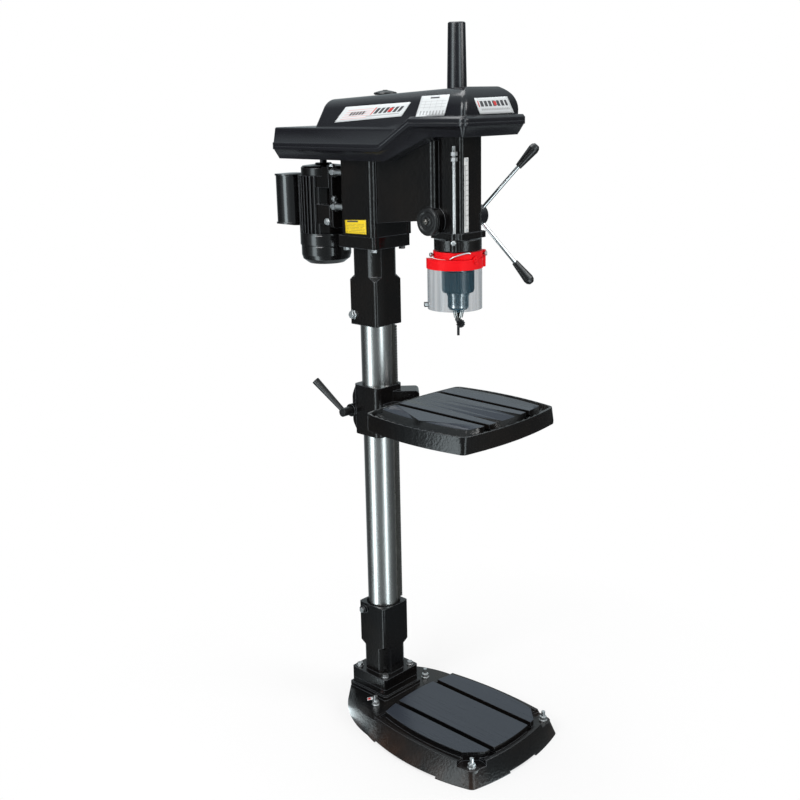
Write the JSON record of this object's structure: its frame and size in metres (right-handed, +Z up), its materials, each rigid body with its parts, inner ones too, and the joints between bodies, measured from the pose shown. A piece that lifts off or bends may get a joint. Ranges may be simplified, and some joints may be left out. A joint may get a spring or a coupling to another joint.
{
  "type": "pillar drill press",
  "caption": "Floor-standing pillar drill press: round column, tilting slotted table on a rack, belt-driven head with quill feed, geared-key chuck and clear chuck guard.",
  "frame": {"origin": "the column's axis at floor level, on the plane of the base's feet", "axes": "+Z up along the column, -Y towards the operator, +X to the operator's right, where the feed handles are"},
  "size_m": [0.3783, 0.7403, 1.592],
  "materials": {
    "cast_paint": "gloss black paint on cast iron",
    "work_face": "satin dark grey machined iron",
    "column_steel": "brushed steel tube",
    "zinc": "zinc plated steel",
    "steel": "turned steel",
    "chrome": "chrome plate",
    "gunmetal": "dark burnished steel",
    "black_plastic": "satin gloss black plastic",
    "black_grip": "satin black plastic",
    "red_plastic": "bright red plastic",
    "green_plastic": "green plastic",
    "clear_plastic": "clear plastic with a blue tinge",
    "motor_paint": "gloss black paint",
    "pulley": "turned aluminium",
    "belt": "black rubber"
  },
  "bodies": {
    "stand": {"base": "cast_paint", "floor_bolts": "zinc", "column_foot": "cast_paint", "column": "column_steel", "head_bracket": "cast_paint", "bracket_bolts": "zinc", "head_casting": "cast_paint", "cover_pan": "black_plastic", "idler_arm": "steel", "drive_belts": "belt", "drive_bearings": "steel", "spring_cup": "black_grip", "return_spring": "steel", "switch_box": "black_plastic"},
    "motor_mount": {"motor_plate": "motor_paint", "slide_rods": "zinc", "motor_housing": "motor_paint", "end_shield": "motor_paint", "fan_cover": "motor_paint", "capacitor_box": "black_plastic"},
    "motor_rotor": {"motor_shaft": "steel", "motor_pulley": "pulley"},
    "idler": {"idler_pulley": "pulley"},
    "spindle_drive": {"spindle_pulley": "pulley", "drive_sleeve": "steel"},
    "quill_unit": {"quill": "steel", "quill_collar": "cast_paint", "quill_bearings": "steel", "depth_rod": "zinc", "guard_clamp": "red_plastic", "guard_pin": "zinc"},
    "depth_stop": {"depth_nuts": "zinc"},
    "guard": {"guard_band": "red_plastic", "guard_shield": "clear_plastic", "guard_bolt": "zinc"},
    "spindle_unit": {"spindle": "steel", "chuck_body": "chrome", "chuck_key": "zinc"},
    "sleeve": {"chuck_sleeve": "gunmetal"},
    "jaw_1": {"chuck_jaw_1": "steel"},
    "jaw_2": {"chuck_jaw_2": "steel"},
    "jaw_3": {"chuck_jaw_3": "steel"},
    "feed": {"feed_shaft": "steel", "feed_hub": "black_plastic", "feed_arms": "chrome", "feed_knobs": "black_grip"},
    "rack_bar": {"rack": "steel"},
    "carriage_unit": {"carriage": "cast_paint"},
    "lock": {"lock_lever": "black_grip"},
    "crank_unit": {"lift_pinion": "steel", "crank": "cast_paint"},
    "grip": {"crank_grip": "black_grip"},
    "table_unit": {"table": "cast_paint", "tilt_bolt": "zinc"},
    "lid_unit": {"lid": "black_plastic", "spindle_tube": "black_plastic"},
    "knob": {"lid_knob": "black_grip"},
    "start": {"start_button": "green_plastic"},
    "stop": {"stop_button": "red_plastic"}
  },
  "joints": [
    {"name": "motor_slide", "type": "slide", "parent": "stand", "child": "motor_mount", "axis": [0, 1, 0], "range_m": [-0.018, 0]},
    {"name": "motor_spin", "type": "hinge", "parent": "motor_mount", "child": "motor_rotor", "pos_m": [0, 0.16, 1.3], "axis": [0, 0, 1], "continuous": true},
    {"name": "idler_spin", "type": "hinge", "parent": "stand", "child": "idler", "pos_m": [0, -0.045, 1.38], "axis": [0, 0, 1], "continuous": true},
    {"name": "pulley_spin", "type": "hinge", "parent": "stand", "child": "spindle_drive", "pos_m": [0, -0.248, 1.4], "axis": [0, 0, 1], "continuous": true},
    {"name": "quill_feed", "type": "slide", "parent": "stand", "child": "quill_unit", "axis": [0, 0, -1], "range_m": [0, 0.08], "stiffness_N_per_m": 500, "springref_m": -0.22},
    {"name": "depth_set", "type": "slide", "parent": "quill_unit", "child": "depth_stop", "axis": [0, 0, 1], "range_m": [-0.055, 0.012]},
    {"name": "guard_swing", "type": "hinge", "parent": "quill_unit", "child": "guard", "pos_m": [0.03939, -0.28288, 1.11], "axis": [0, 0, 1], "range_deg": [0, 110]},
    {"name": "spindle_spin", "type": "hinge", "parent": "quill_unit", "child": "spindle_unit", "pos_m": [0, -0.248, 1.2], "axis": [0, 0, 1], "continuous": true},
    {"name": "chuck_turn", "type": "hinge", "parent": "spindle_unit", "child": "sleeve", "pos_m": [0, -0.248, 1.07], "axis": [0, 0, 1], "range_deg": [0, 2160]},
    {"name": "jaw_1_slide", "type": "slide", "parent": "spindle_unit", "child": "jaw_1", "axis": [0.066, -0.1972, 0.9781], "range_m": [0, 0.02]},
    {"name": "jaw_2_slide", "type": "slide", "parent": "spindle_unit", "child": "jaw_2", "axis": [0.1378, 0.1557, 0.9781], "range_m": [0, 0.02]},
    {"name": "jaw_3_slide", "type": "slide", "parent": "spindle_unit", "child": "jaw_3", "axis": [-0.2037, 0.0415, 0.9781], "range_m": [0, 0.02]},
    {"name": "feed_turn", "type": "hinge", "parent": "stand", "child": "feed", "pos_m": [0, -0.213, 1.202], "axis": [1, 0, 0], "range_deg": [-1, 383]},
    {"name": "table_swing", "type": "hinge", "parent": "stand", "child": "rack_bar", "pos_m": [0, 0, 0.6], "axis": [0, 0, 1], "range_deg": [-180, 180]},
    {"name": "table_lift", "type": "slide", "parent": "rack_bar", "child": "carriage_unit", "axis": [0, 0, 1], "range_m": [-0.42, 0.008]},
    {"name": "crank_turn", "type": "hinge", "parent": "carriage_unit", "child": "crank_unit", "pos_m": [0.04419, -0.04419, 0.755], "axis": [0.7071, 0.7071, 0], "range_deg": [-30, 1340]},
    {"name": "grip_spin", "type": "hinge", "parent": "crank_unit", "child": "grip", "pos_m": [-0.02298, 0.02298, 0.755], "axis": [0.7071, 0.7071, 0], "continuous": true},
    {"name": "lock_turn", "type": "hinge", "parent": "carriage_unit", "child": "lock", "pos_m": [0, 0.046, 0.749], "axis": [1, 0, 0], "range_deg": [0, 75]},
    {"name": "table_tilt", "type": "hinge", "parent": "carriage_unit", "child": "table_unit", "pos_m": [0, -0.097, 0.742], "axis": [0, 1, 0], "range_deg": [-45, 45]},
    {"name": "lid_lift", "type": "slide", "parent": "stand", "child": "lid_unit", "axis": [0, 0, 1], "range_m": [0, 0.25]},
    {"name": "knob_turn", "type": "hinge", "parent": "lid_unit", "child": "knob", "pos_m": [0, -0.045, 1.46], "axis": [0, 0, 1], "continuous": true},
    {"name": "start_press", "type": "slide", "parent": "stand", "child": "start", "axis": [-1, 0, 0], "range_m": [0, 0.003], "stiffness_N_per_m": 300, "springref_m": -0.002},
    {"name": "stop_press", "type": "slide", "parent": "stand", "child": "stop", "axis": [-1, 0, 0], "range_m": [0, 0.003], "stiffness_N_per_m": 300, "springref_m": -0.002}
  ],
  "couplings": [
    {"joint": "jaw_1_slide", "follows": "chuck_turn", "m_per_rad": 0.00053052},
    {"joint": "jaw_2_slide", "follows": "chuck_turn", "m_per_rad": 0.00053052},
    {"joint": "jaw_3_slide", "follows": "chuck_turn", "m_per_rad": 0.00053052},
    {"joint": "pulley_spin", "follows": "spindle_spin", "ratio": 1},
    {"joint": "idler_spin", "follows": "spindle_spin", "ratio": 1.2418},
    {"joint": "motor_spin", "follows": "spindle_spin", "ratio": 1.9866},
    {"joint": "feed_turn", "follows": "quill_feed", "rad_per_m": 83.333},
    {"joint": "crank_turn", "follows": "table_lift", "rad_per_m": -55.556}
  ]
}
